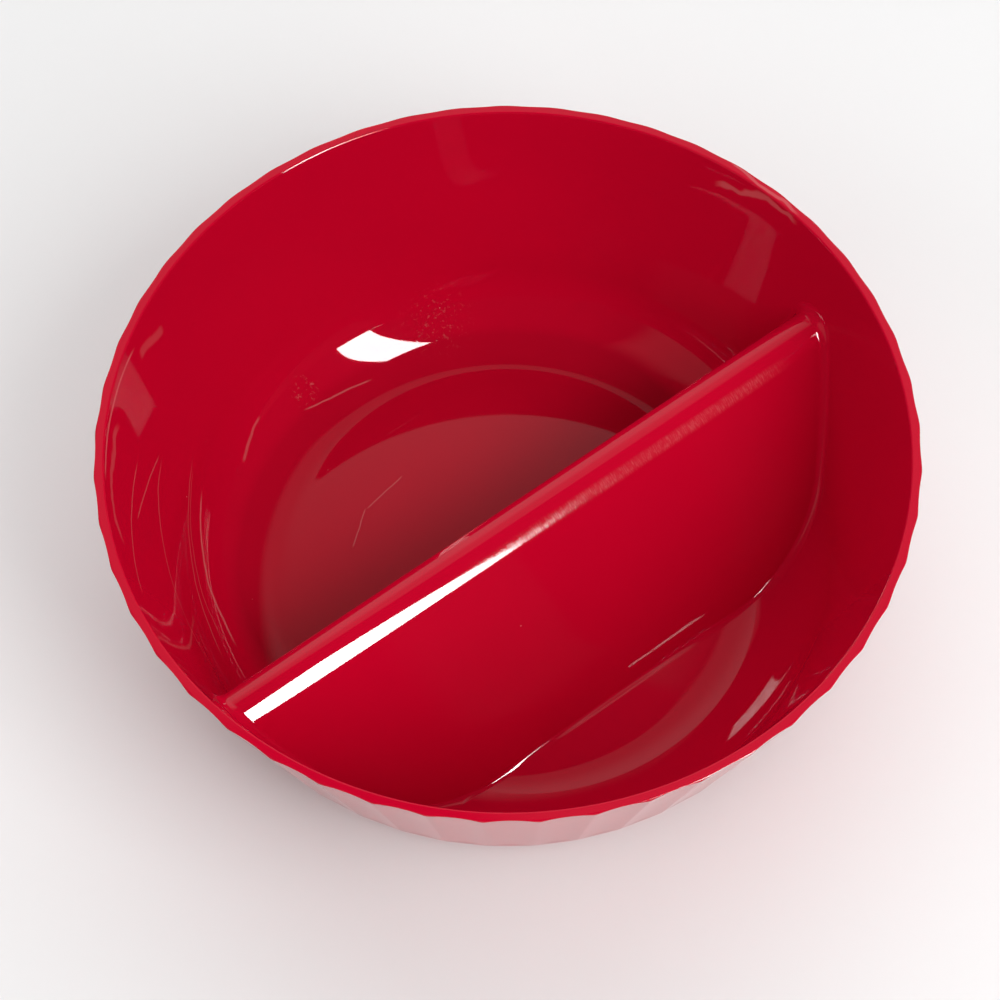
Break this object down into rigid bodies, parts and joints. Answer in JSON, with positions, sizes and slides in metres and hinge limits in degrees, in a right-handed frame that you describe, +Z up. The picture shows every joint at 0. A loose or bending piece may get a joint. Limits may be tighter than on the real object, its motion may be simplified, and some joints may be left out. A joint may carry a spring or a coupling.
{
  "type": "divided serving bowl",
  "caption": "Round red gloss plastic serving bowl with a fluted leaning wall and an off-centre divider that parts a large compartment from a small one",
  "frame": {"origin": "centre of the bowl on the surface it stands on", "axes": "+Z up through the middle of the bowl, X along the divider, -Y towards the small compartment"},
  "size_m": [0.25, 0.2498, 0.088],
  "materials": {
    "red_gloss_wall": "glossy moulded red plastic, lightly scratched",
    "red_gloss_large_floor": "glossy moulded red plastic, lightly scratched",
    "red_gloss_small_floor": "glossy moulded red plastic, lightly scratched",
    "red_gloss_divider": "glossy moulded red plastic, scuffed along the top",
    "red_gloss_foot": "moulded red plastic, rubbed duller where it stands"
  },
  "bodies": {
    "root": {"wall": "red_gloss_wall", "corner": "red_gloss_wall", "large_floor": "red_gloss_large_floor", "small_floor": "red_gloss_small_floor", "divider": "red_gloss_divider", "foot_ring": "red_gloss_foot"}
  },
  "joints": []
}
